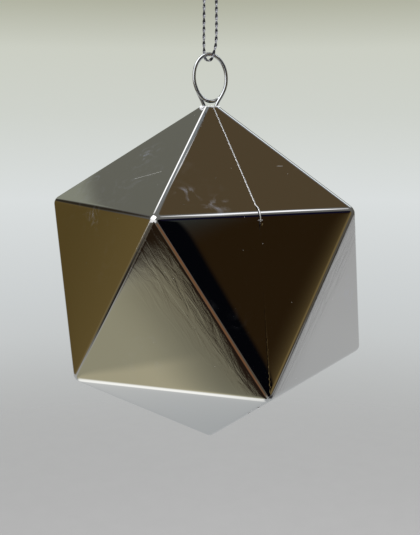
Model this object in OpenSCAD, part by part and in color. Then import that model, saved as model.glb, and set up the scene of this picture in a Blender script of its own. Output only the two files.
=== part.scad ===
// Mirror-plated hanging ornament: a hollow twenty-faced body in two moulded halves, a wire eye and a cord.
// Millimetres, +Z up. The origin is under the crown of the cord loop, where a hook carries the ornament.
// The two halves meet on the plane X = 0, and the front is towards -Y.

/* [Faceted body] */
// Length of one facet edge, before its rounding
edge_len = 53; // [45:0.5:60]
// Radius of the rounded edges and corners
edge_round = 2.4; // [1.5:0.1:2.8]
// Thickness of the moulded wall
wall = 1.6; // [1.4:0.1:2]

/* [Neck] */
// How far below the sharp top corner the neck's rim is cut
neck_cut = 1.9; // [1.9:0.1:2.3]
// Diameter of the round opening in the rim
neck_bore_d = 4.8; // [4.8:0.05:4.9]

/* [Seam] */
// Width of the cement line between the two halves
seam_w = 0.3; // [0.2:0.05:0.5]
// How far the cement bead stands proud of the facets
bead_proud = 0.12; // [0.05:0.01:0.2]
// How far the right half's tongue reaches past the seam
lap_len = 1.2; // [0.8:0.1:2]
// Gap between the tongue and the rebate that takes it
lap_gap = 0.05; // [0.03:0.01:0.1]

/* [Wire hanger] */
// Diameter of the wire
wire_d = 0.95; // [0.8:0.05:0.95]
// Width of the oval eye, at the middle of the wire
eye_w = 8.9; // [8.7:0.1:9.1]
// Height of the oval eye, at the middle of the wire
eye_h = 12.8; // [12.4:0.1:13]
// Lean of the eye to the left, seen from its front
eye_lean = 5; // [0:0.5:6]
// Height of the eye's centre above the neck's rim
eye_lift = 7.75; // [7.7:0.05:8]
// Spacing of the two turns of wire that lie side by side
turn_pitch = 1.4; // [1.4:0.05:1.5]
// Turn of the eye about the vertical, from facing the front
hanger_turn = -19; // [-180:1:180]

/* [Cord] */
// Diameter of the twisted cord
cord_d = 0.75; // [0.6:0.05:0.8]

/* [Hidden] */

// The body is a regular twenty-faced solid with one corner up: a top, two belts of five corners, a bottom.
golden = (1 + sqrt(5)) / 2;
facet_r = edge_len * golden * golden / (2 * sqrt(3));
corner_r = edge_len * sin(72);
belt_r = edge_len / (2 * sin(36));
belt_h = belt_r / 2;

// The loop's crown is at the origin, and the cord's route below settles how far under it the eye hangs.
crown_drop = 39.6;
eye_z = -crown_drop - eye_h / 2;
rim_z = eye_z - eye_lift;
body_z = rim_z + neck_cut - corner_r;
reach = corner_r + 5;
lap_inset = wall / 2;
rim_clear = 10;
bore_depth = 6;

function around(azimuth, radius, height) = [radius * sin(azimuth), -radius * cos(azimuth), height];

corners = concat(
    [[0, 0, corner_r]],
    [for (k = [0:4]) around(72 * k - 36, belt_r, belt_h)],
    [for (k = [0:4]) around(72 * k, belt_r, -belt_h)],
    [[0, 0, -corner_r]]
);

function upper(k) = 1 + k % 5;
function lower(k) = 6 + k % 5;

facets = concat(
    [for (k = [0:4]) [0, upper(k + 1), upper(k)]],
    [for (k = [0:4]) [upper(k), upper(k + 1), lower(k)]],
    [for (k = [0:4]) [lower(k), upper(k + 1), lower(k + 1)]],
    [for (k = [0:4]) [lower(k), lower(k + 1), 11]]
);

// Paths and the round tubes that follow them, for the wire and the cord.
function unit(v) = v / norm(v);

function heading(p, i) =
    i == 0 ? unit(p[1] - p[0]) :
    i == len(p) - 1 ? unit(p[i] - p[i - 1]) :
    unit(unit(p[i + 1] - p[i]) + unit(p[i] - p[i - 1]));

function blend(a, b, from, to, t) =
    a * (1 - 3 * t * t + 2 * t * t * t) + b * (3 * t * t - 2 * t * t * t)
    + norm(b - a) * (from * (t - 2 * t * t + t * t * t) + to * (t * t * t - t * t));

function smooth_path(p, steps) = concat(
    [for (i = [0:len(p) - 2]) for (j = [0:steps - 1])
        blend(p[i], p[i + 1], heading(p, i), heading(p, i + 1), j / steps)],
    [p[len(p) - 1]]
);

function square_to(v, along) = unit(v - (v * along) * along);

module tube(path, d, sides) {
    last = len(path) - 1;
    along = [for (i = [0:last]) heading(path, i)];
    first = square_to(abs(along[0][2]) < 0.9 ? [0, 0, 1] : [1, 0, 0], along[0]);
    across = [for (i = 0, v = first; i <= last; i = i + 1, v = i <= last ? square_to(v, along[i]) : v) v];
    skin = [for (i = [0:last]) for (k = [0:sides - 1])
        let (turn = 360 * k / sides)
        path[i] + d / 2 * (cos(turn) * across[i] + sin(turn) * cross(along[i], across[i]))];
    walls = [for (i = [0:last - 1]) for (k = [0:sides - 1])
        let (a = i * sides + k, b = i * sides + (k + 1) % sides)
        each [[a, a + sides, b + sides], [a, b + sides, b]]];
    ends = [
        [for (k = [0:sides - 1]) k],
        [for (k = [sides - 1:-1:0]) last * sides + k]
    ];
    polyhedron(skin, concat(walls, ends));
}

// The wire, about the eye's centre: one leg up from the neck, nearly two turns, and the other leg down.
wire_sides = 12;
wire_steps = 3;
turn_step = 20;
cross_span = 50;
leg_side = -turn_pitch / 2;
leg = [
    [1.9, leg_side, -7.1], [1.5, leg_side, -8.2], [1.45, leg_side, -9.4],
    [2, leg_side - 0.3, -11.2], [3.2, leg_side - 0.9, -13.6]
];

function half_turned(p) = [-p[0], -p[1], p[2]];
function leaned(x, y, z) = [x * cos(eye_lean) - z * sin(eye_lean), y, x * sin(eye_lean) + z * cos(eye_lean)];
function upright(p) = [
    2 / eye_w * (p[0] * cos(eye_lean) + p[2] * sin(eye_lean)),
    2 / eye_h * (p[2] * cos(eye_lean) - p[0] * sin(eye_lean))
];

// Angle round the eye where the straight leg from p touches it: side is 1 on the right, -1 on the left.
function touch_angle(p, side) = atan2(upright(p)[1], upright(p)[0]) + side * acos(1 / norm(upright(p)));

turn_start = 360 + touch_angle(half_turned(leg[0]), -1);
turn_end = touch_angle(leg[0], 1) - 360;
turn_count = ceil((turn_start - turn_end) / turn_step);

// The wire crosses from the back turn to the front one along the bottom of the eye.
function ease(t) = t < 0 ? 0 : t > 1 ? 1 : t * t * (3 - 2 * t);
function turn_side(angle) = turn_pitch * (0.5 - ease((cross_span / 2 - 90 - angle) / cross_span));
function turn_point(angle) = leaned(eye_w / 2 * cos(angle), turn_side(angle), eye_h / 2 * sin(angle));

wire_path = smooth_path(concat(
    [for (i = [len(leg) - 1:-1:0]) half_turned(leg[i])],
    [for (i = [0:turn_count]) turn_point(turn_start + (turn_end - turn_start) * i / turn_count)],
    leg
), wire_steps);

// Gap between stretches of the wire that are at least this many points apart along it.
apart = 12;
turn_gap = min([for (i = [0:len(wire_path) - 1 - apart]) for (j = [i + apart:len(wire_path) - 1])
    norm(wire_path[i] - wire_path[j])]) - wire_d;
echo(least_gap_between_turns = turn_gap);

// The cord's route, in the eye's turn: down in front of the wire, under it inside the eye, and up behind it.
cord_sides = 8;
cord_steps = 2;
cord_route = [
    [0.3, -0.2, 1.6], [0.65, -0.45, 0.7], [1, -0.7, 0.1], [1.3, -0.9, -0.6], [1.45, -1, -1.5],
    [1.5, -1.05, -5], [1.55, -1.1, -11], [1.6, -1.15, -17], [1.65, -1.2, -23], [1.7, -1.3, -29],
    [1.7, -1.5, -34], [1.55, -1.75, -37], [1.3, -1.85, -38.3], [0.95, -1.85, -39.4], [0.75, -1.65, -40.2],
    [0.45, -1.2, -40.8], [-0.1, -0.4, -41.2], [-0.65, 0.4, -41.2], [-1.2, 1.2, -40.8], [-1.5, 1.65, -40.2],
    [-1.65, 1.85, -39.4], [-1.7, 1.85, -38.3], [-1.75, 1.75, -37], [-1.75, 1.5, -34], [-1.7, 1.3, -29],
    [-1.65, 1.2, -23], [-1.6, 1.15, -17], [-1.55, 1.1, -11], [-1.5, 1.05, -5], [-1.45, 1, -1.5],
    [-1.3, 0.9, -0.6], [-1, 0.7, 0.1], [-0.65, 0.45, 0.7], [-0.3, 0.2, 1.6]
];

// The knot is a barrel with two short tails.
knot_base = 1.3;
knot_h = 2.6;
knot_d = 2.6;
knot_bulge_r = 3;
tail_front = [[0.3, -0.2, 2.6], [0.5, -0.4, 4.2], [1.1, -0.9, 5.5], [2.1, -1.4, 6.6], [3.2, -1.6, 7.2]];
tail_back = [[-0.3, 0.2, 2.6], [-0.45, 0.4, 4.2], [-0.9, 0.9, 5.8], [-1.6, 1.6, 7.5]];
tail_steps = 3;

module slab(low, high) {
    translate([low, -reach, body_z - reach])
        cube([high - low, 2 * reach, 2 * reach]);
}

// The sharp solid, with every facet moved in by the same amount.
module faceted_body(inset) {
    translate([0, 0, body_z])
        scale(1 - inset / facet_r)
            polyhedron(corners, facets);
}

// The same solid with its edges rounded, and its skin moved out by grow.
module rounded_body(grow = 0) {
    translate([0, 0, body_z])
        hull()
            for (c = corners)
                translate(c * (1 - edge_round / facet_r))
                    sphere(r = edge_round + grow, $fn = 32);
}

module neck_opening() {
    translate([0, 0, rim_z])
        cylinder(r = rim_clear, h = rim_clear);
    translate([0, 0, rim_z - bore_depth])
        cylinder(d = neck_bore_d, h = bore_depth + 1);
}

module hollow_body() {
    difference() {
        rounded_body();
        faceted_body(wall);
        neck_opening();
    }
}

// Left half, with a rebate inside its rim.
module shell_left() {
    color("silver")
        difference() {
            intersection() {
                hollow_body();
                slab(-reach, -seam_w / 2);
            }
            intersection() {
                faceted_body(lap_inset);
                slab(-lap_len - lap_gap, 0);
            }
        }
}

// Right half, with a tongue on the inner side of its rim that laps into the left half.
module shell_right() {
    color("silver")
        difference() {
            intersection() {
                hollow_body();
                slab(-lap_len, reach);
            }
            difference() {
                slab(-2 * lap_len, seam_w / 2);
                faceted_body(lap_inset + lap_gap);
            }
        }
}

// Cement squeezed out between the two rims, plated over with the shells.
module seam_bead() {
    color("gainsboro")
        difference() {
            intersection() {
                rounded_body(bead_proud);
                slab(-seam_w / 2, seam_w / 2);
            }
            faceted_body(lap_inset);
            neck_opening();
        }
}

// Spring wire: the eye, and two legs that pass through the neck and spread inside it.
module hanger_wire() {
    color("lightgray")
        translate([0, 0, eye_z])
            rotate([0, 0, hanger_turn])
                tube(wire_path, wire_d, wire_sides);
}

module cord_loop() {
    color("darkgray")
        rotate([0, 0, hanger_turn])
            tube(smooth_path(cord_route, cord_steps), cord_d, cord_sides);
}

// The barrel of the knot, round its middle.
module knot_barrel() {
    rotate_extrude()
        intersection() {
            translate([knot_d / 2 - knot_bulge_r, 0])
                circle(r = knot_bulge_r);
            translate([0, -knot_h / 2])
                square([knot_d, knot_h]);
        }
}

module cord_knot() {
    color("darkgray")
        rotate([0, 0, hanger_turn]) {
            translate([0, 0, knot_base + knot_h / 2])
                knot_barrel();
            tube(smooth_path(tail_front, tail_steps), cord_d, cord_sides);
            tube(smooth_path(tail_back, tail_steps), cord_d, cord_sides);
        }
}

shell_left();
shell_right();
seam_bead();
hanger_wire();
cord_loop();
cord_knot();
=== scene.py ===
import math

import bpy
from mathutils import Matrix, Vector


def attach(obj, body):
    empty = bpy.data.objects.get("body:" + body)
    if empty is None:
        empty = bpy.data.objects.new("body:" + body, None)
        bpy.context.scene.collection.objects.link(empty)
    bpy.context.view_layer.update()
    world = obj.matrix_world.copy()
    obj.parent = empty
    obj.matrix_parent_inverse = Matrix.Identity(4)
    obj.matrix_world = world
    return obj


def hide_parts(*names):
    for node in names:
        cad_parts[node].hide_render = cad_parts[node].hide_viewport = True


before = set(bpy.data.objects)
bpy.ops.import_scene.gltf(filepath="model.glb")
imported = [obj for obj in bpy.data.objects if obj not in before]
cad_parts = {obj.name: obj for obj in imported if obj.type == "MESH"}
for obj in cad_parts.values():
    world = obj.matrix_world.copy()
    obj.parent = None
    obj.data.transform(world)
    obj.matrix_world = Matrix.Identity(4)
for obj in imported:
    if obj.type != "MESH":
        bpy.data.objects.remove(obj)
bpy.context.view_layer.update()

scene = bpy.context.scene


# Camera: the photograph's own view, from a little above the middle of the body and to its left.
# The lens is the photograph's angle on a picture of 420 by 535.
picture_height = 535
lens_in_pixels = 749
sensor = 36
view_turn = math.radians(-19.04)
view_rise = math.radians(11.05)
view_roll = math.radians(-0.05)
view_distance = 0.21935
view_aim = Vector((0, 0, -0.09987))
level_right = Vector((math.cos(view_turn), math.sin(view_turn), 0))
level_away = Vector((-math.sin(view_turn), math.cos(view_turn), 0))
view_back = -level_away * math.cos(view_rise) + Vector((0, 0, math.sin(view_rise)))
view_up = view_back.cross(level_right)
picture_right = level_right * math.cos(view_roll) - view_up * math.sin(view_roll)
picture_up = level_right * math.sin(view_roll) + view_up * math.cos(view_roll)
camera_data = bpy.data.cameras.new("camera")
camera_data.sensor_fit = "VERTICAL"
camera_data.sensor_width = sensor
camera_data.sensor_height = sensor
camera_data.lens = lens_in_pixels * sensor / picture_height
camera_data.clip_start = 0.01
camera = bpy.data.objects.new("camera", camera_data)
facing = Matrix((picture_right, picture_up, view_back)).transposed().to_4x4()
camera.matrix_world = Matrix.Translation(view_aim + view_distance * view_back) @ facing
scene.collection.objects.link(camera)
scene.camera = camera


# Cord: a loop of silver gift cord, two plies of foil-wrapped yarn twisted together.
# It comes down in front of the wire eye, passes under its top and goes up behind it to the knot.
mm = 0.001
hanger_turn = Matrix.Rotation(math.radians(-19), 3, "Z")
foil_pitch = 0.6 * mm
# Length between the blotches of painted shade where the two plies cross.
painted_shade_pitch = 1.95 * mm
strand_lobes = 4
cord_route = [
    (0.3, -0.2, 1.6), (0.65, -0.45, 0.7), (1, -0.7, 0.1), (1.3, -0.9, -0.6), (1.45, -1, -1.5),
    (1.5, -1.05, -5), (1.55, -1.1, -11), (1.6, -1.15, -17), (1.65, -1.2, -23), (1.7, -1.3, -29),
    (1.7, -1.5, -34), (1.55, -1.75, -37), (1.3, -1.85, -38.3), (0.95, -1.85, -39.4), (0.75, -1.65, -40.2),
    (0.45, -1.2, -40.8), (-0.1, -0.4, -41.2), (-0.65, 0.4, -41.2), (-1.2, 1.2, -40.8), (-1.5, 1.65, -40.2),
    (-1.65, 1.85, -39.4), (-1.7, 1.85, -38.3), (-1.75, 1.75, -37), (-1.75, 1.5, -34), (-1.7, 1.3, -29),
    (-1.65, 1.2, -23), (-1.6, 1.15, -17), (-1.55, 1.1, -11), (-1.5, 1.05, -5), (-1.45, 1, -1.5),
    (-1.3, 0.9, -0.6), (-1, 0.7, 0.1), (-0.65, 0.45, 0.7), (-0.3, 0.2, 1.6),
]


def heading(points, i):
    """The direction of travel at one point of a path."""
    before = (points[i] - points[i - 1]).normalized() if i > 0 else Vector()
    after = (points[i + 1] - points[i]).normalized() if i + 1 < len(points) else Vector()
    return (before + after).normalized()


def smooth_path(points, steps):
    """The same path with steps points for each stretch, on a curve through the points."""
    path = []
    for i in range(len(points) - 1):
        a, b = points[i], points[i + 1]
        pull = (b - a).length
        for j in range(steps):
            t = j / steps
            path.append(
                a * (1 - 3 * t**2 + 2 * t**3) + b * (3 * t**2 - 2 * t**3)
                + pull * (heading(points, i) * (t - 2 * t**2 + t**3) + heading(points, i + 1) * (t**3 - t**2))
            )
    return path + [points[-1]]


def hung(points, lift=0.0):
    """Millimetres in the eye's own turn, as metres in the row frame."""
    return [hanger_turn @ Vector((x, y, z + lift)) * mm for x, y, z in points]


def join(tree, node, inputs):
    """Sets a node's inputs to values, or joins them to other nodes' outputs."""
    for key, value in inputs.items():
        for one in value if isinstance(value, list) else [value]:
            if isinstance(one, bpy.types.NodeSocket):
                tree.links.new(one, node.inputs[key])
            else:
                node.inputs[key].default_value = one


def add(tree, kind, inputs=None, **settings):
    """One node with its settings made and its inputs joined."""
    made = tree.nodes.new(kind)
    for name, value in settings.items():
        setattr(made, name, value)
    join(tree, made, inputs or {})
    return made


def sum_of(tree, operation, *values):
    """A Math node's result."""
    return add(tree, "ShaderNodeMath", dict(enumerate(values)), operation=operation).outputs[0]


def vector_of(tree, operation, *values, scale=None):
    """A Vector Math node's result."""
    inputs = dict(enumerate(values))
    if scale is not None:
        inputs["Scale"] = scale
    made = add(tree, "ShaderNodeVectorMath", inputs, operation=operation)
    return made.outputs["Value" if operation in ("DOT_PRODUCT", "LENGTH", "DISTANCE") else "Vector"]


def parts_of(tree, vector):
    """A vector's three parts."""
    return add(tree, "ShaderNodeSeparateXYZ", {0: vector}).outputs


def made_of(tree, *parts):
    """A vector from its parts."""
    return add(tree, "ShaderNodeCombineXYZ", dict(enumerate(parts))).outputs[0]


def ranged(tree, value, low, high, to_low=0.0, to_high=1.0, **settings):
    """A Map Range node's result."""
    inputs = {"Value": value, "From Min": low, "From Max": high, "To Min": to_low, "To Max": to_high}
    return add(tree, "ShaderNodeMapRange", inputs, **settings).outputs[0]


def noise(tree, place, scale, detail, **more):
    """A noise texture's value."""
    inputs = {"Vector": place, "Scale": scale, "Detail": detail, **more}
    return add(tree, "ShaderNodeTexNoise", inputs).outputs["Fac"]


def toned(tree, value, stops):
    """A colour ramp's result, through rising stops of position and colour."""
    ramp = add(tree, "ShaderNodeValToRGB", {"Fac": value})
    ends = ramp.color_ramp.elements
    ends[0].position = stops[0][0]
    ends[1].position = stops[-1][0]
    for position, _ in stops[1:-1]:
        ends.new(position)
    for stop, (_, colour) in zip(ends, stops):
        stop.color = (*colour, 1)
    return ramp.outputs[0]


def bumped(tree, height, strength, depth):
    """A Bump node's normal."""
    return add(tree, "ShaderNodeBump", {"Strength": strength, "Distance": depth, "Height": height}).outputs[0]


def own_place(tree):
    """The place on the piece, in its own frame."""
    return add(tree, "ShaderNodeTexCoord").outputs["Object"]


def kept(tree, name):
    """A value that the piece's tree kept for the finish."""
    return add(tree, "ShaderNodeAttribute", attribute_name=name).outputs["Fac"]


def shape_tree(name, sizes):
    """A geometry tree with a carrier, named sizes and a finish as its inputs."""
    tree = bpy.data.node_groups.new(name, "GeometryNodeTree")
    tree.interface.new_socket("Carrier", in_out="INPUT", socket_type="NodeSocketGeometry")
    for size in sizes:
        tree.interface.new_socket(size, in_out="INPUT", socket_type="NodeSocketFloat")
    tree.interface.new_socket("Finish", in_out="INPUT", socket_type="NodeSocketMaterial")
    tree.interface.new_socket("Piece", in_out="OUTPUT", socket_type="NodeSocketGeometry")
    return tree, tree.nodes.new("NodeGroupInput").outputs


def end_tree(tree, geometry, finish):
    """The end of every tree: smooth shading, real geometry and the finish."""
    smooth = add(tree, "GeometryNodeSetShadeSmooth", {"Geometry": geometry}).outputs[0]
    real = add(tree, "GeometryNodeRealizeInstances", {"Geometry": smooth}).outputs[0]
    dressed = add(tree, "GeometryNodeSetMaterial", {"Geometry": real, "Material": finish}).outputs[0]
    add(tree, "NodeGroupOutput", {"Piece": dressed})


def even_line(tree, given):
    """The carrier's lines as curves with evenly stepped points."""
    line = add(tree, "GeometryNodeMeshToCurve", {"Mesh": given["Carrier"]}).outputs[0]
    inputs = {"Curve": line, "Length": given["Step"]}
    return add(tree, "GeometryNodeResampleCurve", inputs, mode="LENGTH").outputs[0]


def moved(tree, geometry, key, value):
    """Points set to a Position, or shifted by an Offset."""
    return add(tree, "GeometryNodeSetPosition", {"Geometry": geometry, key: value}).outputs[0]


def keep(tree, geometry, name, value):
    """The geometry with a value kept on it for the finish."""
    inputs = {"Geometry": geometry, "Name": name, "Value": value}
    return add(tree, "GeometryNodeStoreNamedAttribute", inputs).outputs[0]


def ring_of(tree, sides, radius):
    """A round profile."""
    return add(tree, "GeometryNodeCurvePrimitiveCircle", {"Resolution": sides, "Radius": radius}).outputs[0]


def swept(tree, curve, profile, **more):
    """A closed skin along a curve."""
    inputs = {"Curve": curve, "Profile Curve": profile, "Fill Caps": True, **more}
    return add(tree, "GeometryNodeCurveToMesh", inputs).outputs[0]


def grown(name, tree, sizes, paths=(), rings=()):
    """The plain mesh that a tree makes along open paths and closed rings, as an object at the origin."""
    carrier = bpy.data.meshes.new(name)
    points, links = [], []
    for path in (*paths, *rings):
        first = len(points)
        points += path
        links += [(i, i + 1) for i in range(first, len(points) - 1)]
        links += [(len(points) - 1, first)] if path in rings else []
    carrier.from_pydata(points, links, [])
    piece = bpy.data.objects.new(name, carrier)
    scene.collection.objects.link(piece)
    modifier = piece.modifiers.new(tree.name, "NODES")
    modifier.node_group = tree
    for socket in tree.interface.items_tree:
        if socket.name in sizes:
            modifier[socket.identifier] = sizes[socket.name]
    made = bpy.data.meshes.new_from_object(piece.evaluated_get(bpy.context.evaluated_depsgraph_get()))
    piece.modifiers.remove(modifier)
    piece.data = made
    made.name = name
    return piece


def blank_finish(name):
    """A material with no nodes, and its tree."""
    finish = bpy.data.materials.new(name)
    finish.use_nodes = True
    finish.node_tree.nodes.clear()
    return finish, finish.node_tree


def new_finish(name):
    """A material with its shader joined to its output."""
    finish, tree = blank_finish(name)
    shader = add(tree, "ShaderNodeBsdfPrincipled")
    add(tree, "ShaderNodeOutputMaterial", {"Surface": shader.outputs[0]})
    return finish, tree, shader


def foil_yarn():
    """Silver foil wrapped round a dark thread: bright turns of foil with the thread between them, and painted
    shade in dark blotches every half lay, where the plies cross.
    """
    finish, tree, shader = new_finish("silver_foil_yarn")
    along = kept(tree, "along")
    patch = noise(tree, own_place(tree), 900, 3)
    slip = sum_of(tree, "MULTIPLY", patch, 6)
    wrap = sum_of(tree, "SINE", sum_of(tree, "MULTIPLY_ADD", along, 2 * math.pi / foil_pitch, slip))
    # Painted shade: a dark blotch every half lay, where the two plies cross each other.
    drag = sum_of(tree, "MULTIPLY", patch, 7)
    turn = sum_of(tree, "SINE", sum_of(tree, "MULTIPLY_ADD", along, 2 * math.pi / painted_shade_pitch, drag))
    painted_ply_shade = ranged(tree, turn, -0.45, 0.5)
    foil = ranged(tree, wrap, -0.9, 0.3, 0.4)
    bright = sum_of(tree, "MULTIPLY", painted_ply_shade, foil)
    join(tree, shader, {
        "Base Color": toned(tree, bright, ((0, (0.04, 0.04, 0.05)), (1, (0.45, 0.46, 0.5)))),
        "Roughness": ranged(tree, patch, 0, 1, 0.16, 0.5),
        "Normal": bumped(tree, wrap, 0.8, 0.03 * mm),
        "Metallic": 0.35,
    })
    return finish


def two_ply_tree():
    """Two lobed plies that wind round a path."""
    sizes = ["Ply diameter", "Ply offset", "Lay length", "Strand lay", "Step"]
    tree, given = shape_tree("two_ply_cord", sizes)
    along = add(tree, "GeometryNodeSplineParameter").outputs["Length"]
    named = keep(tree, even_line(tree, given), "along", along)
    normal = add(tree, "GeometryNodeInputNormal").outputs[0]
    tangent = add(tree, "GeometryNodeInputTangent").outputs[0]
    across = vector_of(tree, "CROSS_PRODUCT", tangent, normal)
    turn = sum_of(tree, "MULTIPLY", sum_of(tree, "DIVIDE", along, given["Lay length"]), 2 * math.pi)
    plies = []
    for start in (0, math.pi):
        angle = sum_of(tree, "ADD", turn, start)
        out = vector_of(tree, "SCALE", normal, scale=sum_of(tree, "COSINE", angle))
        side = vector_of(tree, "SCALE", across, scale=sum_of(tree, "SINE", angle))
        offset = vector_of(tree, "SCALE", vector_of(tree, "ADD", out, side), scale=given["Ply offset"])
        plies.append(moved(tree, named, "Offset", offset))
    both = add(tree, "GeometryNodeJoinGeometry", {"Geometry": plies}).outputs[0]
    twist = sum_of(tree, "MULTIPLY", sum_of(tree, "DIVIDE", along, given["Strand lay"]), 2 * math.pi)
    twisted = add(tree, "GeometryNodeSetCurveTilt", {"Curve": both, "Tilt": twist}).outputs[0]
    ring = ring_of(tree, 16, sum_of(tree, "MULTIPLY", given["Ply diameter"], 0.5))
    place = add(tree, "GeometryNodeInputPosition").outputs[0]
    parts = parts_of(tree, place)
    angle = sum_of(tree, "ARCTAN2", parts[1], parts[0])
    lobe = sum_of(tree, "COSINE", sum_of(tree, "MULTIPLY", angle, strand_lobes))
    swell = sum_of(tree, "MULTIPLY_ADD", lobe, 0.12, 0.9)
    lobed = moved(tree, ring, "Position", vector_of(tree, "SCALE", place, scale=swell))
    end_tree(tree, swept(tree, twisted, lobed), given["Finish"])
    return tree


cord_path = smooth_path(hung(cord_route), 6)
yarn = foil_yarn()
cord_tree = two_ply_tree()
cord_make = {
    "Ply diameter": 0.44 * mm,
    "Ply offset": 0.2 * mm,
    "Lay length": 3.9 * mm,
    "Strand lay": 1.6 * mm,
    "Step": 0.1 * mm,
    "Finish": yarn,
}
cord = grown("cord", cord_tree, cord_make, paths=[cord_path])
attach(cord, "cord")
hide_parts("cord_loop")


# Knot: the two ends of the cord wound round themselves in a small barrel knot and cut short.
# The turns lie side by side, and the tails stand out at the top where they spring apart.
wind_foot = 1.7
wind_r = 0.88
wind_step = 0.72
wind_turns = 2.7
wind_points = 44
tucked_share = 0.45
tail_front = [
    (0.3, -0.2, 1.6), (0.35, -0.25, 2.6), (0.5, -0.4, 4.2),
    (1.1, -0.9, 5.5), (2.1, -1.4, 6.6), (3.2, -1.6, 7.2),
]
tail_back = [(-0.3, 0.2, 1.6), (-0.35, 0.25, 2.6), (-0.45, 0.4, 4.2), (-0.9, 0.9, 5.8), (-1.6, 1.6, 7.5)]
winding = []
for i in range(wind_points + 1):
    wound = i / wind_points
    turn = 2 * math.pi * wind_turns * wound
    out = min(1, 5 * wound, 5 * (1 - wound))
    r = wind_r * (tucked_share + (1 - tucked_share) * out)
    winding.append((r * math.cos(turn), r * math.sin(turn), wind_foot + wind_step * wind_turns * wound))
knot_paths = [smooth_path(hung(path), 4) for path in (tail_front, tail_back, winding)]
knot = grown("cord_ends_knot", cord_tree, cord_make, paths=knot_paths)
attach(knot, "cord")
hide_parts("cord_knot")


# Hanger: one length of polished spring wire, wound in nearly two turns as an oval eye.
# Its two legs pass down through the neck and spread inside it, which holds the body.
wire_d = 0.95 * mm
eye_height = -46
eye_w = 8.9
eye_h = 12.8
eye_lean = math.radians(5)
turn_pitch = 1.4
cross_span = 50
turn_step = 20
leg_side = -turn_pitch / 2
leg = [
    (1.9, leg_side, -7.1), (1.5, leg_side, -8.2), (1.45, leg_side, -9.4),
    (2, leg_side - 0.3, -11.2), (3.2, leg_side - 0.9, -13.6),
]
other_leg = [(-x, -y, z) for x, y, z in leg]


def touch_angle(point, side):
    """Angle round the eye where the straight leg from a point touches it."""
    x, _, z = point
    across = 2 / eye_w * (x * math.cos(eye_lean) + z * math.sin(eye_lean))
    up = 2 / eye_h * (z * math.cos(eye_lean) - x * math.sin(eye_lean))
    return math.degrees(math.atan2(up, across) + side * math.acos(1 / math.hypot(across, up)))


def turn_point(angle):
    """A point on the eye's turns. The wire crosses from the back turn to the front one along the bottom."""
    t = min(max((cross_span / 2 - 90 - angle) / cross_span, 0), 1)
    x = eye_w / 2 * math.cos(math.radians(angle))
    z = eye_h / 2 * math.sin(math.radians(angle))
    side = turn_pitch * (0.5 - t * t * (3 - 2 * t))
    return (
        x * math.cos(eye_lean) - z * math.sin(eye_lean),
        side,
        x * math.sin(eye_lean) + z * math.cos(eye_lean),
    )


def spring_wire():
    """Drawn and polished steel: fine lines along the wire and a soft shine."""
    finish, tree, shader = new_finish("polished_spring_wire")
    run = sum_of(tree, "MULTIPLY", kept(tree, "along"), 150)
    girth = sum_of(tree, "MULTIPLY", kept(tree, "around"), 14)
    lines = noise(tree, made_of(tree, run, girth), 1, 4)
    cloud = noise(tree, own_place(tree), 700, 2)
    join(tree, shader, {
        "Base Color": toned(tree, lines, ((0.3, (0.66, 0.68, 0.7)), (0.65, (0.72, 0.75, 0.78)))),
        "Roughness": ranged(tree, cloud, 0, 1, 0.1, 0.16),
        "Normal": bumped(tree, lines, 0.02, 0.01 * mm),
        "Metallic": 1,
    })
    return finish


def round_wire_tree():
    """A round wire along a path, with its length and its girth kept for the finish."""
    tree, given = shape_tree("round_wire", ["Wire diameter", "Step"])
    parameter = add(tree, "GeometryNodeSplineParameter").outputs
    named = keep(tree, even_line(tree, given), "along", parameter["Length"])
    ring = ring_of(tree, 24, sum_of(tree, "MULTIPLY", given["Wire diameter"], 0.5))
    ringed = keep(tree, ring, "around", sum_of(tree, "PINGPONG", parameter["Factor"], 0.5))
    end_tree(tree, swept(tree, named, ringed), given["Finish"])
    return tree


turn_start = 360 + touch_angle(other_leg[0], -1)
turn_end = touch_angle(leg[0], 1) - 360
turn_count = math.ceil((turn_start - turn_end) / turn_step)
turns = [turn_point(turn_start + (turn_end - turn_start) * i / turn_count) for i in range(turn_count + 1)]
wire_path = smooth_path(hung(other_leg[::-1] + turns + leg, eye_height), 6)
wire_make = {"Wire diameter": wire_d, "Step": 0.15 * mm, "Finish": spring_wire()}
wire = grown("wire_eye", round_wire_tree(), wire_make, paths=[wire_path])
wire.data.set_sharp_from_angle(angle=math.radians(50))
wire.visible_glossy = False
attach(wire, "hanger")
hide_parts("hanger_wire")


# Body: two hollow half shells of moulded plastic, plated all over with bright chrome.
# Together they are a twenty-faced solid with rounded edges; the right half's tongue laps into the left half.
edge_len = 53 * mm
edge_round = 2.4 * mm
wall = 1.6 * mm
seam_w = 0.3 * mm
lap_len = 1.2 * mm
lap_gap = 0.05 * mm
lap_inset = wall / 2
bore_d = 4.8 * mm
bore_depth = 6 * mm
golden = (1 + math.sqrt(5)) / 2
facet_r = edge_len * golden**2 / (2 * math.sqrt(3))
facet_h = edge_len * math.sqrt(3) / 2
corner_r = edge_len * math.sin(math.radians(72))
belt_r = edge_len / (2 * math.sin(math.radians(36)))
reach = corner_r + 5 * mm
rim_z = -53.75 * mm
body_z = rim_z + 1.9 * mm - corner_r
skin_fineness = 6
edge_crowding = 2.2
edge_sink = 0.04 * mm
edge_sink_width = 1.5 * mm
bare_plating = (0.66, 0.66, 0.655)


def shifted(tree, geometry, way):
    """Geometry moved along a way."""
    return add(tree, "GeometryNodeTransform", {"Geometry": geometry, "Translation": way}).outputs[0]


def faceted(tree, given, inset):
    """The sharp twenty-faced solid with every facet moved in."""
    share = sum_of(tree, "SUBTRACT", 1, sum_of(tree, "DIVIDE", inset, given["Facet radius"]))
    radius = sum_of(tree, "MULTIPLY", given["Corner radius"], share)
    solid = add(tree, "GeometryNodeMeshIcoSphere", {"Radius": radius, "Subdivisions": 1}).outputs[0]
    return add(tree, "GeometryNodeTransform", {"Geometry": solid, "Rotation": (0, 0, math.pi / 2)}).outputs[0]


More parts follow.
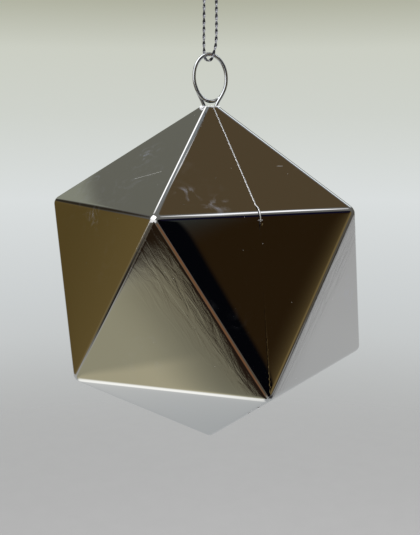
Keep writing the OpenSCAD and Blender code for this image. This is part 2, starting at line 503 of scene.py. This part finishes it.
def rounded_skin(tree, given):
    """The outer skin: each facet in small faces that crowd towards its edges, rounded there by a ball.
    The facet also sinks a little beside each edge, as moulded plastic does."""
    loose = add(tree, "GeometryNodeSplitEdges", {0: faceted(tree, given, 0)}).outputs[0]
    index = add(tree, "GeometryNodeInputIndex").outputs[0]
    place = add(tree, "GeometryNodeInputPosition").outputs[0]
    order = sum_of(tree, "MODULO", index, 3)
    share = made_of(tree, *(sum_of(tree, "COMPARE", order, k, 0.1) for k in range(3)))
    shares = add(tree, "GeometryNodeCaptureAttribute", {"Geometry": loose}, domain="CORNER")
    shares.capture_items.new("VECTOR", "share")
    tree.links.new(share, shares.inputs["share"])
    ends = add(tree, "GeometryNodeCaptureAttribute", {"Geometry": shares.outputs[0]}, domain="FACE")
    for k in range(3):
        end = add(tree, "GeometryNodeFieldAtIndex", domain="CORNER", data_type="FLOAT_VECTOR")
        join(tree, end, {"Value": place, "Index": sum_of(tree, "MULTIPLY_ADD", index, 3, k)})
        ends.capture_items.new("VECTOR", f"corner {k}")
        tree.links.new(end.outputs[0], ends.inputs[f"corner {k}"])
    fine_inputs = {"Mesh": ends.outputs[0], "Level": skin_fineness}
    fine = add(tree, "GeometryNodeSubdivideMesh", fine_inputs).outputs[0]
    weights = parts_of(tree, shares.outputs["share"])
    pulls = [sum_of(tree, "POWER", sum_of(tree, "MAXIMUM", weights[k], 0), edge_crowding) for k in range(3)]
    total = sum_of(tree, "ADD", sum_of(tree, "ADD", pulls[0], pulls[1]), pulls[2])
    crowded, sunk = (0, 0, 0), 0
    for k in range(3):
        part = sum_of(tree, "DIVIDE", pulls[k], total)
        pulled = vector_of(tree, "SCALE", ends.outputs[f"corner {k}"], scale=part)
        crowded = vector_of(tree, "ADD", crowded, pulled)
        from_edge = sum_of(tree, "MULTIPLY", part, -facet_h / edge_sink_width)
        sunk = sum_of(tree, "ADD", sunk, sum_of(tree, "EXPONENT", from_edge))
    laid_out = moved(tree, fine, "Position", crowded)
    core = faceted(tree, given, given["Rounding"])
    near = add(tree, "GeometryNodeProximity", {0: core, "Sample Position": place}).outputs["Position"]
    out = vector_of(tree, "NORMALIZE", vector_of(tree, "SUBTRACT", place, near))
    proud = sum_of(tree, "SUBTRACT", given["Rounding"], sum_of(tree, "MULTIPLY", sunk, given["Edge sink"]))
    rounded = vector_of(tree, "ADD", near, vector_of(tree, "SCALE", out, scale=proud))
    skin = moved(tree, laid_out, "Position", rounded)
    return add(tree, "GeometryNodeMergeByDistance", {"Geometry": skin, "Distance": 0.0005 * mm}).outputs[0]


def cut(tree, operation, first, *others):
    """Two or more solids joined, cut or crossed."""
    made = add(tree, "GeometryNodeMeshBoolean", operation=operation, solver="MANIFOLD")
    if operation == "DIFFERENCE":
        tree.links.new(first, made.inputs["Mesh 1"])
    for other in others if operation == "DIFFERENCE" else (first, *others):
        tree.links.new(other, made.inputs["Mesh 2"])
    return made.outputs[0]


def slab(tree, low, high):
    """A block between two planes square to X, larger than the body the other ways."""
    wide = 4 * corner_r
    block = add(tree, "GeometryNodeMeshCube", {"Size": (high - low, wide, wide)}).outputs[0]
    return shifted(tree, block, ((low + high) / 2, 0, 0))


def cylinder(tree, sides, radius, depth):
    """A solid cylinder about the vertical."""
    inputs = {"Vertices": sides, "Radius": radius, "Depth": depth}
    return add(tree, "GeometryNodeMeshCylinder", inputs).outputs[0]


def neck_opening(tree, given):
    """What is cut away at the neck: all above the rim, and the round bore."""
    above = 10 * mm
    over = 1 * mm
    rim = rim_z - body_z
    top = cylinder(tree, 48, above, above)
    bore = cylinder(tree, 96, sum_of(tree, "MULTIPLY", given["Bore diameter"], 0.5), bore_depth)
    return [
        shifted(tree, top, (0, 0, rim + above / 2)),
        shifted(tree, bore, (0, 0, rim + over - bore_depth / 2)),
    ]


body_make = {
    "Corner radius": corner_r,
    "Facet radius": facet_r,
    "Rounding": edge_round,
    "Edge sink": edge_sink,
    "Wall": wall,
    "Bore diameter": bore_d,
}


def half_tree(name):
    """One half of the plated body."""
    tree, given = shape_tree(name, body_make)
    cavity = faceted(tree, given, given["Wall"])
    hollow = cut(tree, "DIFFERENCE", rounded_skin(tree, given), cavity, *neck_opening(tree, given))
    if name == "left_half":
        half = cut(tree, "INTERSECT", hollow, slab(tree, -reach, -seam_w / 2))
        away = cut(tree, "INTERSECT", faceted(tree, given, lap_inset), slab(tree, -lap_len - lap_gap, 0))
    else:
        half = cut(tree, "INTERSECT", hollow, slab(tree, -lap_len, reach))
        tongue = faceted(tree, given, lap_inset + lap_gap)
        away = cut(tree, "DIFFERENCE", slab(tree, -2 * lap_len, seam_w / 2), tongue)
    half = cut(tree, "DIFFERENCE", half, away)
    end_tree(tree, shifted(tree, half, (0, 0, body_z)), given["Finish"])
    return tree


def belt_corner(turn, side):
    """A corner of the upper belt (side 1) or the lower one (side -1), by its turn from the front."""
    a = math.radians(turn)
    return Vector((belt_r * math.sin(a), -belt_r * math.cos(a), body_z + side * belt_r / 2))


def flow_streaks(tree, place, start, end, far, depth):
    """Fine ripples that the moulding left along one edge of a facet, widest and strongest at its start."""
    length = (end - start).length
    along_edge = (end - start) / length
    square = (far - start) - (far - start).dot(along_edge) * along_edge
    square.normalize()
    outward = along_edge.cross(square)
    outward = outward if outward.dot(start - Vector((0, 0, body_z))) > 0 else -outward
    from_start = vector_of(tree, "SUBTRACT", place, tuple(start))
    ways = (along_edge, square, outward)
    run, side, lift = (vector_of(tree, "DOT_PRODUCT", from_start, tuple(way)) for way in ways)
    grain = made_of(tree, sum_of(tree, "MULTIPLY", run, 100), sum_of(tree, "MULTIPLY", side, 480))
    ripple = noise(tree, grain, 1, 6, Roughness=0.58, Distortion=1.1)
    reach_in = sum_of(tree, "MULTIPLY_ADD", run, -0.72 * depth / length, depth)
    share_in = sum_of(tree, "DIVIDE", side, reach_in)
    near = ranged(tree, share_in, 1, 0.25, interpolation_type="SMOOTHSTEP")
    this_side = ranged(tree, side, 0, 1 * mm)
    on_face = ranged(tree, lift, -2 * mm, -1 * mm)
    fading = ranged(tree, run, 0, length, 1, 0.35)
    near_edge = sum_of(tree, "MULTIPLY", near, this_side)
    cover = sum_of(tree, "MULTIPLY", near_edge, sum_of(tree, "MULTIPLY", on_face, fading))
    return sum_of(tree, "MULTIPLY", sum_of(tree, "SUBTRACT", ripple, 0.5), cover)


def hairline(tree, place, start, end, width):
    """A straight scratch between two points."""
    length = (end - start).length
    way = tuple((end - start) / length)
    from_start = vector_of(tree, "SUBTRACT", place, tuple(start))
    run = vector_of(tree, "DOT_PRODUCT", from_start, way)
    held = sum_of(tree, "MINIMUM", sum_of(tree, "MAXIMUM", run, 0), length)
    off = vector_of(tree, "DISTANCE", from_start, vector_of(tree, "SCALE", way, scale=held))
    return ranged(tree, off, width, 0.3 * width)


def on_facet(first, second, third, share_first, share_second):
    """A point of a facet, by its shares of the first two corners."""
    return first * share_first + second * share_second + third * (1 - share_first - share_second)


def mixed(tree, share, first, second):
    """A colour between two colours."""
    inputs = {"Factor": share, "A": first, "B": second}
    return add(tree, "ShaderNodeMix", inputs, data_type="RGBA").outputs["Result"]


def bright_plating():
    """Bright chrome on moulded plastic: nearly a mirror, with ripples, finger smudges, hairlines and dust."""
    finish, tree, shader = new_finish("bright_plating")
    place = own_place(tree)
    top = Vector((0, 0, body_z + corner_r))
    front_left, front_right, left, right = (belt_corner(turn, 1) for turn in (-36, 36, -108, 108))
    low_front, low_left, low_right = (belt_corner(turn, -1) for turn in (0, -72, 72))
    front_facet = (top, front_left, front_right)
    left_facet = (top, left, front_left)

    height = sum_of(tree, "MULTIPLY", noise(tree, place, 70, 1), 0.006 * mm)
    for start, end, far, depth, deep in (
        (front_left, low_front, low_left, 24 * mm, 0.045 * mm),
        (front_right, low_front, low_right, 20 * mm, 0.13 * mm),
        (front_left, top, left, 10 * mm, 0.02 * mm),
        (right, low_right, low_front, 12 * mm, 0.05 * mm),
    ):
        streaks = flow_streaks(tree, place, start, end, far, depth)
        height = sum_of(tree, "MULTIPLY_ADD", streaks, deep, height)

    touched = ranged(tree, noise(tree, place, 45, 4), 0.56, 0.85, 0, 0.4)
    for middle, size in (
        (on_facet(*front_facet, 0.08, 0.65), 4.5 * mm),
        (on_facet(*front_facet, 0.16, 0.73), 4 * mm),
        (on_facet(*left_facet, 0.45, 0.33), 7 * mm),
        (on_facet(*left_facet, 0.2, 0.7), 3 * mm),
        (on_facet(left, front_left, low_left, 0.5, 0.45), 4 * mm),
    ):
        far_off = vector_of(tree, "DISTANCE", place, tuple(middle))
        finger = ranged(tree, far_off, size, 0.3 * size, interpolation_type="SMOOTHSTEP")
        touched = sum_of(tree, "MAXIMUM", touched, finger)
    smear = ranged(tree, noise(tree, place, 210, 5, Distortion=2.2), 0.5, 0.72)
    smudged = sum_of(tree, "MULTIPLY", smear, touched)

    specks = add(tree, "ShaderNodeTexVoronoi", {"Vector": place, "Scale": 300}).outputs["Distance"]
    marks = ranged(tree, specks, 0.028, 0.012)
    for start, end, width in (
        (on_facet(*front_facet, 0.373, 0.112), on_facet(*front_facet, 0.373, 0.085), 0.11 * mm),
        (on_facet(*left_facet, 0.255, 0.31), on_facet(*left_facet, 0.335, 0.115), 0.12 * mm),
    ):
        scratch = sum_of(tree, "MULTIPLY", hairline(tree, place, start, end, width), 0.6)
        marks = sum_of(tree, "MAXIMUM", marks, scratch)
    marked = sum_of(tree, "MULTIPLY", marks, 0.4)
    film = sum_of(tree, "MAXIMUM", sum_of(tree, "MULTIPLY", smudged, 0.1), marked)
    greasy = mixed(tree, smudged, (*bare_plating, 1), (0.68, 0.72, 0.9, 1))
    join(tree, shader, {
        "Base Color": mixed(tree, marks, greasy, (0.85, 0.85, 0.84, 1)),
        "Roughness": sum_of(tree, "ADD", sum_of(tree, "MULTIPLY_ADD", smudged, 0.12, 0.02), marked),
        "Normal": bumped(tree, height, 1, 1),
        "Metallic": sum_of(tree, "SUBTRACT", 1, film),
    })
    return finish


plating = bright_plating()
for side in ("left", "right"):
    half = grown(f"plated_{side}_half", half_tree(f"{side}_half"), {**body_make, "Finish": plating})
    half.data.set_sharp_from_angle(angle=math.radians(25))
    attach(half, "shell")
    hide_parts(f"shell_{side}")


# Seam: the line of cement that was squeezed out where the two halves meet, plated over with them.
# It is a thin uneven bead that runs round the body in one plane, and stands out most on the upper facets.
bead_proud = 0.12 * mm
bead_w = 0.32 * mm
top_corner = Vector((0, 0, corner_r))
low_corner = Vector((0, -belt_r, -belt_r / 2))
front_mid = Vector((0, -belt_r * math.cos(math.radians(36)), belt_r / 2))
up_facet = (top_corner - front_mid).normalized()
down_facet = (low_corner - front_mid).normalized()
jog = Vector((0.35 * mm, 0, 0))
tick_mid = front_mid + down_facet * 1.7 * mm
tick = [tick_mid + Vector((x * mm, 0, 0)) for x in (-0.3, 0.9)]
outline = [
    top_corner,
    front_mid + up_facet * 3 * mm,
    front_mid + up_facet * 2 * mm + jog,
    front_mid + jog,
    tick_mid + jog,
    front_mid + down_facet * 4 * mm,
    low_corner,
    -top_corner,
    -front_mid,
    -low_corner,
]


def bead_tree(sizes):
    """An uneven bead along the rounded outline of the body, open at the neck."""
    tree, given = shape_tree("seam_bead", sizes)
    even = even_line(tree, given)
    place = add(tree, "GeometryNodeInputPosition").outputs[0]
    skin = rounded_skin(tree, given)
    near = add(tree, "GeometryNodeProximity", {0: skin, "Sample Position": place}).outputs["Position"]
    height = parts_of(tree, near)[2]
    deep = ranged(tree, height, belt_r / 2 - 1 * mm, belt_r / 2 - 3 * mm, 0, given["Lower sink"])
    inward = vector_of(tree, "SCALE", near, scale=sum_of(tree, "MULTIPLY", deep, -1 / facet_r))
    on_skin = moved(tree, even, "Position", vector_of(tree, "ADD", near, inward))
    drift = sum_of(tree, "SUBTRACT", noise(tree, place, 1100, 2), 0.5)
    offset = made_of(tree, sum_of(tree, "MULTIPLY", drift, given["Wander"]))
    uneven = moved(tree, on_skin, "Offset", offset)
    tangent = add(tree, "GeometryNodeInputTangent").outputs[0]
    sideways = vector_of(tree, "NORMALIZE", vector_of(tree, "CROSS_PRODUCT", tangent, place))
    upright = add(tree, "GeometryNodeSetCurveNormal", {"Curve": uneven, "Normal": sideways}, mode="FREE")
    low = sum_of(tree, "LESS_THAN", parts_of(tree, place)[2], belt_r / 2 - 2.4 * mm)
    part_inputs = {"Geometry": upright.outputs[0], "Selection": low}
    parted = add(tree, "GeometryNodeSeparateGeometry", part_inputs).outputs
    ring = ring_of(tree, 16, 0.5)
    swell = ranged(tree, noise(tree, place, 1600, 2), 0.25, 0.75, 0.75, 1.02)
    tall = sum_of(tree, "MULTIPLY", given["Bead height"], 2)
    stretches = []
    for stretch, width, plump in (
        (parted["Inverted"], given["Bead width"], swell),
        (parted["Selection"], given["Lower width"], 1),
    ):
        size = made_of(tree, width, tall, 1)
        oval = add(tree, "GeometryNodeTransform", {"Geometry": ring, "Scale": size}).outputs[0]
        stretches.append(swept(tree, stretch, oval, Scale=plump))
    opened = cut(tree, "DIFFERENCE", cut(tree, "UNION", *stretches), *neck_opening(tree, given))
    end_tree(tree, shifted(tree, opened, (0, 0, body_z)), given["Finish"])
    return tree


def plated_cement():
    """Plating over the cement: bright as the shells, pitted above the front edge and smooth below it."""
    finish, tree, shader = new_finish("plated_cement")
    place = own_place(tree)
    belt_z = body_z + belt_r / 2
    coarse = ranged(tree, parts_of(tree, place)[2], belt_z - 3 * mm, belt_z - 2 * mm)
    pits = sum_of(tree, "MULTIPLY", noise(tree, place, 2500, 3), coarse)
    join(tree, shader, {
        "Base Color": toned(tree, pits, ((0, bare_plating), (0.45, (0.95, 0.95, 0.96)))),
        "Roughness": ranged(tree, pits, 0, 1, 0.02, 0.45),
        "Normal": bumped(tree, pits, 0.5, 0.03 * mm),
        "Metallic": 1,
    })
    return finish


bead_make = {
    **body_make,
    "Bead width": bead_w,
    "Bead height": bead_proud,
    "Lower width": 1.4 * mm,
    "Lower sink": 0.117 * mm,
    "Step": 0.2 * mm,
    "Wander": 0.16 * mm,
}
bead_sizes = {**bead_make, "Finish": plated_cement()}
bead = grown("seam_line", bead_tree(bead_make), bead_sizes, paths=[tick], rings=[outline])
bead.data.set_sharp_from_angle(angle=math.radians(50))
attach(bead, "shell")
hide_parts("seam_bead")


# Flash: rough lumps of cement round the rim of the neck, a large one at its left, and a few near the foot.
# They are the ends of the seam's cement, pressed out when the two halves were closed and thinly plated.
flash_r = 2.7 * mm
rim_step = 10
rim_turns = [math.radians(rim_step * k) for k in range(360 // rim_step)]
rim_lumps = [(flash_r * math.cos(a), flash_r * math.sin(a), rim_z - 0.08 * mm) for a in rim_turns]
lump_mid = -level_right * 2.45 * mm - level_away * 1.9 * mm
large_lump = [tuple(lump_mid + Vector((0, 0, rim_z - drop * mm))) for drop in (0.4, 0.6)]
seam_low = low_corner + Vector((0, 0, body_z))
seam_foot = Vector((0, 0, body_z - corner_r))
foot_shares = (0.15, 0.16, 0.17, 0.29, 0.3, 0.31)
foot_lumps = [tuple(seam_low.lerp(seam_foot, share) + Vector((0, 0, 0.12 * mm))) for share in foot_shares]


def bare_cement():
    """Cement that the plating covers only thinly: pale, rough and a little shiny."""
    finish, tree, shader = new_finish("bare_cement")
    crumbs = noise(tree, own_place(tree), 2200, 4)
    join(tree, shader, {
        "Base Color": toned(tree, crumbs, ((0.3, (0.55, 0.57, 0.6)), (0.55, (0.92, 0.93, 0.95)))),
        "Roughness": ranged(tree, crumbs, 0, 1, 0.15, 0.45),
        "Normal": bumped(tree, crumbs, 0.8, 0.06 * mm),
        "Metallic": 0.2,
    })
    return finish


def lumps_tree():
    """Round lumps of uneven size at each point of the carrier, run together into one skin."""
    tree, given = shape_tree("run_together_lumps", ["Least lump", "Largest lump", "Fineness"])
    ball = add(tree, "GeometryNodeMeshIcoSphere", {"Radius": 1.0, "Subdivisions": 3}).outputs[0]
    size_inputs = {2: given["Least lump"], 3: given["Largest lump"], "Seed": 4}
    size = add(tree, "FunctionNodeRandomValue", size_inputs).outputs[1]
    ball_inputs = {"Points": given["Carrier"], "Instance": ball, "Scale": size}
    balls = add(tree, "GeometryNodeInstanceOnPoints", ball_inputs).outputs[0]
    real = add(tree, "GeometryNodeRealizeInstances", {"Geometry": balls}).outputs[0]
    volume = add(tree, "GeometryNodeMeshToVolume", resolution_mode="VOXEL_SIZE")
    join(tree, volume, {
        "Mesh": real,
        "Voxel Size": given["Fineness"],
        "Interior Band Width": sum_of(tree, "MULTIPLY", given["Fineness"], 2),
    })
    skin = add(tree, "GeometryNodeVolumeToMesh", {"Volume": volume.outputs[0], "Threshold": 0.1}).outputs[0]
    end_tree(tree, skin, given["Finish"])
    return tree


lump_tree = lumps_tree()
pale_cement = bare_cement()
small = {"Least lump": 0.12 * mm, "Largest lump": 0.24 * mm, "Fineness": 0.05 * mm, "Finish": pale_cement}
large = {"Least lump": 0.55 * mm, "Largest lump": 0.62 * mm, "Fineness": 0.05 * mm, "Finish": pale_cement}
for name, points, make in (
    ("neck_flash", rim_lumps, small), ("neck_lump", large_lump, large), ("foot_flash", foot_lumps, small),
):
    flash = grown(name, lump_tree, make, paths=[[point] for point in points])
    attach(flash, "shell")


# Studio: a plain pale floor that fades into a pale backdrop, and soft lamps above.
# A tent of glowing painted cards, which only the bright metal sees, paints the reflections and highlights
# that give the facets and edges their tones.
floor_z = -0.56
floor_r = 2.0
floor_sides = 64


def fading_floor():
    """Pale matt paint that thins out to nothing far from the object."""
    finish, tree = blank_finish("pale_floor")
    place = own_place(tree)
    tone = mixed(tree, noise(tree, place, 40, 4), (0.5, 0.5, 0.5, 1), (0.53, 0.53, 0.53, 1))
    paint = add(tree, "ShaderNodeBsdfDiffuse", {"Color": tone}).outputs[0]
    clear = add(tree, "ShaderNodeBsdfTransparent").outputs[0]
    fade = ranged(tree, vector_of(tree, "LENGTH", place), 0.6, 1.7, interpolation_type="SMOOTHSTEP")
    mix = add(tree, "ShaderNodeMixShader", {0: fade, 1: paint, 2: clear}).outputs[0]
    add(tree, "ShaderNodeOutputMaterial", {"Surface": mix})
    return finish


floor_mesh = bpy.data.meshes.new("floor")
floor_turns = [2 * math.pi * i / floor_sides for i in range(floor_sides)]
floor_points = [(floor_r * math.cos(a), floor_r * math.sin(a), floor_z) for a in floor_turns]
floor_mesh.from_pydata(floor_points, [], [list(range(floor_sides))])
floor_mesh.materials.append(fading_floor())
floor = bpy.data.objects.new("floor", floor_mesh)
scene.collection.objects.link(floor)

# Cards: turn and rise of the middle from the picture's away direction, half width, half height
# and lean, all in degrees, then softness as a share, and colour. Later cards cover earlier ones.
# Each card is a painted reflection, and the cards brighter than 1 are painted highlights.
cards = [
    ("brown_top", 52, 69, 12, 14, 0, 0.2, (0.105, 0.075, 0.04)),
    ("ochre_left", -74, 0, 22, 17, 0, 0.2, (0.15, 0.105, 0.036)),
    ("ochre_left_deep", -66, 2, 6, 12, 0, 0.8, (0.11, 0.075, 0.023)),
    ("ochre_far_left", -92, -6, 8, 12, 0, 0.5, (0.2, 0.15, 0.065)),
    ("black_far_left", -112, -14, 5, 6, 0, 0.5, (0.008, 0.007, 0.005)),
    ("black_left_top", -58, 24, 9, 7, 0, 0.5, (0.03, 0.024, 0.015)),
    ("grey_high_left", -36, 35, 16, 12, 0, 0.3, (0.17, 0.17, 0.141)),
    ("pale_wedge", -43, 25, 7, 6, 20, 0.25, (0.3, 0.31, 0.25)),
    ("white_front_left", -130, 16, 36, 13, 0, 0.3, (1.2, 1.2, 1.2)),
    ("umber_right", 138, 12, 22, 26, 0, 0.25, (0.024, 0.013, 0.0045)),
    ("ochre_right", 128, -1, 8, 26, -33, 0.5, (0.2, 0.145, 0.06)),
    ("black_right", 88, -17, 8, 9, 0, 0.5, (0.01, 0.008, 0.006)),
    ("grey_right", 74, -22, 9, 16, 0, 0.5, (0.3, 0.3, 0.3)),
    ("dark_low_right", 120, -38, 22, 16, 0, 0.5, (0.05, 0.05, 0.05)),
    ("green_patch", 151, 18, 5, 4, 24, 0.8, (0.035, 0.04, 0.037)),
    ("blue_black", 138, 29, 14, 8, 0, 0.35, (0.004, 0.004, 0.018)),
    ("black_stripe", 157, 1, 14, 34, 24, 0.03, (0.0015, 0.0018, 0.003)),
    ("cream_low", -140, -42, 30, 17, 0, 0.3, (0.38, 0.36, 0.25)),
    ("cream_near", -128, -50, 14, 13.5, -6, 0.05, (0.51, 0.47, 0.32)),
    ("grey_low", -156, -43, 8, 12, 20, 0.5, (0.28, 0.275, 0.2)),
    ("olive_low", -158, -24, 16, 34, 40, 0.4, (0.15, 0.13, 0.085)),
    ("dark_low", -157, -27, 10, 40, 28, 0.1, (0.02, 0.012, 0.008)),
    ("black_low", -141, -18, 10, 8, 0, 0.3, (0.02, 0.012, 0.006)),
    ("rose_stripe", -176, -16, 8, 14, 0, 0.3, (0.21, 0.1, 0.048)),
    ("white_under", -80, -70, 24, 14, 0, 0.7, (1.35, 1.35, 1.3)),
    ("grey_back_top", 44, 58, 14, 4, 30, 0.3, (0.24, 0.25, 0.28)),
    ("dark_back", 20, 21, 12, 6, 0, 0.5, (0.05, 0.05, 0.055)),
    ("white_back", 33, 43, 16, 9, 30, 0.3, (1.3, 1.4, 1.45)),
    ("white_front_top", 119, 58, 10, 6, 0, 0.35, (1.6, 1.6, 1.65)),
    ("white_left", -118, 48, 26, 18, 0, 0.2, (2.2, 2.2, 2.2)),
    ("grey_top", -18, 67, 9, 6, 0, 0.5, (0.25, 0.27, 0.28)),
    ("white_top_back", -33, 52, 8, 6, 0, 0.35, (1.8, 1.8, 1.8)),
    ("white_top_line", 0, 75, 5, 1.6, 0, 0.5, (0.9, 0.9, 0.9)),
]
opening = ("opening", 0, -6, 46, 24, 0, 0.2, (1, 1, 1))
tent_stops = (
    (0, (0.45, 0.47, 0.48)), (0.25, (0.5, 0.505, 0.505)), (0.355, (0.46, 0.46, 0.46)),
    (0.395, (0.1, 0.085, 0.06)), (0.6, (0.12, 0.115, 0.105)), (1, (0.2, 0.2, 0.19)),
)


def direction(turn, rise):
    """A direction in the row frame, by its turn from the picture's away direction and its height."""
    a, e = math.radians(turn), math.radians(rise)
    level = level_right * (math.sin(a) * math.cos(e)) + level_away * (math.cos(a) * math.cos(e))
    return level + Vector((0, 0, math.sin(e)))


def card_group():
    """One soft-edged card of painted reflection, painted over what lies behind it."""
    tree = bpy.data.node_groups.new("card", "ShaderNodeTree")
    for kind, labels in (
        ("Vector", ("Toward", "Middle", "Across", "Up")),
        ("Float", ("Softness",)),
        ("Color", ("Behind", "Paint")),
    ):
        for label in labels:
            tree.interface.new_socket(label, in_out="INPUT", socket_type="NodeSocket" + kind)
    tree.interface.new_socket("Color", in_out="OUTPUT", socket_type="NodeSocketColor")
    tree.interface.new_socket("Cover", in_out="OUTPUT", socket_type="NodeSocketFloat")
    given = tree.nodes.new("NodeGroupInput").outputs
    toward = given["Toward"]
    ahead = sum_of(tree, "MAXIMUM", vector_of(tree, "DOT_PRODUCT", toward, given["Middle"]), 0.001)
    offs = []
    for way in ("Across", "Up"):
        off = sum_of(tree, "DIVIDE", vector_of(tree, "DOT_PRODUCT", toward, given[way]), ahead)
        offs.append(sum_of(tree, "ABSOLUTE", off))
    edge = sum_of(tree, "MAXIMUM", *offs)
    outer = sum_of(tree, "ADD", 1, given["Softness"])
    inner = sum_of(tree, "SUBTRACT", 1, given["Softness"])
    cover = ranged(tree, edge, outer, inner, interpolation_type="SMOOTHSTEP")
    painted = mixed(tree, cover, given["Behind"], given["Paint"])
    add(tree, "NodeGroupOutput", {"Color": painted, "Cover": cover})
    return tree


def placed_card(tree, group, toward, card):
    """A card's node, held at its place in the tent."""
    name, turn, rise, half_width, half_height, lean, softness, colour = card
    middle = direction(turn, rise)
    level = direction(turn + 90, 0)
    upright = level.cross(middle)
    upright = upright if upright.z > 0 else -upright
    tilt = math.radians(lean)
    across = level * math.cos(tilt) - upright * math.sin(tilt)
    up = upright * math.cos(tilt) + level * math.sin(tilt)
    return add(tree, "ShaderNodeGroup", {
        "Toward": toward,
        "Middle": middle,
        "Across": across / math.tan(math.radians(half_width)),
        "Up": up / math.tan(math.radians(half_height)),
        "Softness": softness,
        "Paint": (*colour, 1),
    }, node_tree=group, label=name)


def painted_reflection_tent():
    """The tent's glowing paint, a painted reflection seen only in the metal: dark above, pale below and the
    cards over both, with an opening at the back.
    """
    finish, tree = blank_finish("painted_reflection_tent")
    middle_inputs = {"Vector": own_place(tree), "Location": (0, 0, -body_z)}
    from_body = add(tree, "ShaderNodeMapping", middle_inputs).outputs[0]
    toward = vector_of(tree, "NORMALIZE", from_body)
    height = sum_of(tree, "MULTIPLY_ADD", parts_of(tree, toward)[2], 0.5, 0.5)
    away = vector_of(tree, "DOT_PRODUCT", toward, tuple(level_away))
    paint = toned(tree, sum_of(tree, "MULTIPLY_ADD", away, -0.0925, height), tent_stops)
    one_card = card_group()
    for card in cards:
        made = placed_card(tree, one_card, toward, card)
        tree.links.new(paint, made.inputs["Behind"])
        paint = made.outputs["Color"]
    glow = add(tree, "ShaderNodeEmission", {"Color": paint}).outputs[0]
    clear = add(tree, "ShaderNodeBsdfTransparent").outputs[0]
    opened = placed_card(tree, one_card, toward, opening).outputs["Cover"]
    mix = add(tree, "ShaderNodeMixShader", {0: opened, 1: glow, 2: clear}).outputs[0]
    add(tree, "ShaderNodeOutputMaterial", {"Surface": mix})
    return finish


tent_r = 0.42
tent_rows = 24
tent_columns = 48
tent_points = [(0, 0, body_z + tent_r)]
for i in range(1, tent_rows):
    e = math.pi * i / tent_rows
    for j in range(tent_columns):
        a = 2 * math.pi * j / tent_columns
        level_r = tent_r * math.sin(e)
        tent_points.append((level_r * math.cos(a), level_r * math.sin(a), body_z + tent_r * math.cos(e)))
tent_points.append((0, 0, body_z - tent_r))
last_point = len(tent_points) - 1
last_row = 1 + (tent_rows - 2) * tent_columns
tent_faces = []
for j in range(tent_columns):
    following = (j + 1) % tent_columns
    tent_faces.append((0, 1 + j, 1 + following))
    tent_faces.append((last_point, last_row + following, last_row + j))
    for first in range(1, last_row, tent_columns):
        a, b = first + j, first + following
        tent_faces.append((a, a + tent_columns, b + tent_columns, b))
tent_mesh = bpy.data.meshes.new("tent")
tent_mesh.from_pydata(tent_points, [], tent_faces)
tent_mesh.materials.append(painted_reflection_tent())
tent = bpy.data.objects.new("tent", tent_mesh)
scene.collection.objects.link(tent)
tent.visible_camera = False
tent.visible_diffuse = False
tent.visible_shadow = False
tent.visible_transmission = False

for name, place, size, power in (
    ("top_lamp", Vector((-0.3, -0.4, 0.7)), 0.8, 9),
    ("side_lamp", Vector((0.8, -0.5, 0.3)), 0.7, 5),
):
    lamp_data = bpy.data.lights.new(name, "AREA")
    lamp_data.shape = "DISK"
    lamp_data.size = size
    lamp_data.energy = power
    lamp = bpy.data.objects.new(name, lamp_data)
    facing = (place - Vector((0, 0, body_z))).to_track_quat("Z", "Y").to_matrix().to_4x4()
    lamp.matrix_world = Matrix.Translation(place) @ facing
    lamp.visible_glossy = False
    scene.collection.objects.link(lamp)

sky_stops = (
    (0.1, (0.42, 0.42, 0.42)), (0.225, (0.48, 0.49, 0.485)), (0.375, (0.6, 0.625, 0.63)),
    (0.5, (0.7, 0.73, 0.73)), (0.61, (0.62, 0.645, 0.6)), (0.69, (0.6, 0.62, 0.55)),
    (0.75, (0.43, 0.44, 0.35)),
)
world = bpy.data.worlds.new("pale_backdrop")
world.use_nodes = True
scene.world = world
sky = world.node_tree
sky.nodes.clear()
look = add(sky, "ShaderNodeTexCoord").outputs["Generated"]
band = toned(sky, ranged(sky, parts_of(sky, look)[2], -0.6, 0.4), sky_stops)
ray = add(sky, "ShaderNodeLightPath").outputs
mirrored = sum_of(sky, "MAXIMUM", ray["Is Glossy Ray"], ray["Is Transmission Ray"])
seen = sum_of(sky, "MAXIMUM", ray["Is Camera Ray"], mirrored)
shown = mixed(sky, seen, (0.6, 0.6, 0.6, 1), band)
backdrop = add(sky, "ShaderNodeBackground", {"Color": shown, "Strength": 1}).outputs[0]
add(sky, "ShaderNodeOutputWorld", {"Surface": backdrop})

scene.view_settings.view_transform = "Standard"
